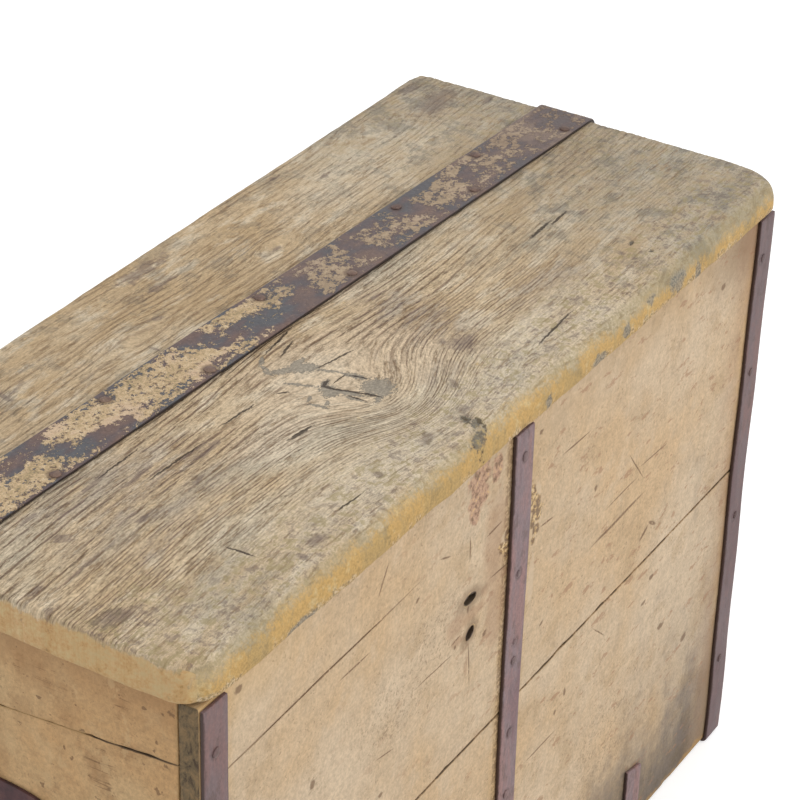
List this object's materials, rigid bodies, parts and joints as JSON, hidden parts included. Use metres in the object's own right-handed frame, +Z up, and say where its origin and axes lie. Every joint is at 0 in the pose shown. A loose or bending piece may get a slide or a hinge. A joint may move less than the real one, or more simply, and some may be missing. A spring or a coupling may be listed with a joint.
{
  "type": "ship chest",
  "caption": "Painted plank ship chest bound with flat iron hoops, with a hinged two-plank lid and a drop handle on each end.",
  "frame": {"origin": "on the floor, under the middle of the closed lid", "axes": "+X to the right along the length, front faces -Y, +Z up"},
  "size_m": [0.7602, 0.313, 0.518],
  "materials": {
    "front_paint": "old tan paint on boards, satin, checked and scuffed",
    "end_paint": "darker ochre-tan paint on boards, satin",
    "lid_wood": "weathered grey-tan planks with raised grain and ochre worn edges, matt",
    "plain_wood": "bare aged softwood, matt",
    "strap_paint": "maroon-grey paint on flat iron, satin",
    "worn_strap": "tan paint worn through to blue-black iron and rust, matt",
    "dark_iron": "dark wrought iron, satin",
    "handle_iron": "dark maroon paint on wrought iron, satin"
  },
  "bodies": {
    "case": {"front_board_lower": "front_paint", "front_board_upper": "front_paint", "back_board_lower": "front_paint", "back_board_upper": "front_paint", "left_end_board_bottom": "end_paint", "left_end_board_middle": "end_paint", "left_end_board_top": "end_paint", "right_end_board_bottom": "end_paint", "right_end_board_middle": "end_paint", "right_end_board_top": "end_paint", "bottom_board_front": "plain_wood", "bottom_board_back": "plain_wood", "hoop_strap_left": "strap_paint", "hoop_strap_centre": "strap_paint", "hoop_strap_right": "strap_paint", "under_strap_left": "strap_paint", "under_strap_right": "strap_paint", "hoop_nail_left_1": "strap_paint", "hoop_nail_left_2": "strap_paint", "hoop_nail_left_3": "strap_paint", "hoop_nail_left_4": "strap_paint", "hoop_nail_centre_1": "strap_paint", "hoop_nail_centre_2": "strap_paint", "hoop_nail_centre_3": "strap_paint", "hoop_nail_centre_4": "strap_paint", "hoop_nail_centre_5": "strap_paint", "hoop_nail_centre_6": "strap_paint", "hoop_nail_right_1": "strap_paint", "hoop_nail_right_2": "strap_paint", "hoop_nail_right_3": "strap_paint", "hoop_nail_right_4": "strap_paint", "hinge_left_case_leaf": "dark_iron", "hinge_left_pin": "dark_iron", "hinge_right_case_leaf": "dark_iron", "hinge_right_pin": "dark_iron", "left_handle_plate": "handle_iron", "left_handle_post_front": "handle_iron", "left_handle_post_back": "handle_iron", "right_handle_plate": "handle_iron", "right_handle_post_front": "handle_iron", "right_handle_post_back": "handle_iron"},
    "lid": {"lid_plank_front": "lid_wood", "lid_plank_back": "lid_wood", "lid_batten_left": "plain_wood", "lid_batten_centre": "plain_wood", "lid_batten_right": "plain_wood", "lid_strap": "worn_strap", "lid_strap_nail_1": "worn_strap", "lid_strap_nail_2": "worn_strap", "lid_strap_nail_3": "worn_strap", "lid_strap_nail_4": "worn_strap", "lid_strap_nail_5": "worn_strap", "lid_strap_nail_6": "worn_strap", "lid_strap_nail_7": "worn_strap", "lid_strap_nail_8": "worn_strap", "lid_strap_nail_9": "worn_strap", "hinge_left_lid_leaf": "dark_iron", "hinge_right_lid_leaf": "dark_iron"},
    "left_bail": {"left_handle_bail": "handle_iron"},
    "right_bail": {"right_handle_bail": "handle_iron"}
  },
  "joints": [
    {"name": "lid_hinge", "type": "hinge", "parent": "case", "child": "lid", "pos_m": [0, 0.147, 0.4858], "axis": [-1, 0, 0], "range_deg": [0, 108]},
    {"name": "left_bail_pivot", "type": "hinge", "parent": "case", "child": "left_bail", "pos_m": [-0.3721, -0.005, 0.3523], "axis": [0, 1, 0], "range_deg": [0, 100]},
    {"name": "right_bail_pivot", "type": "hinge", "parent": "case", "child": "right_bail", "pos_m": [0.3721, -0.005, 0.3523], "axis": [0, -1, 0], "range_deg": [0, 100]}
  ]
}
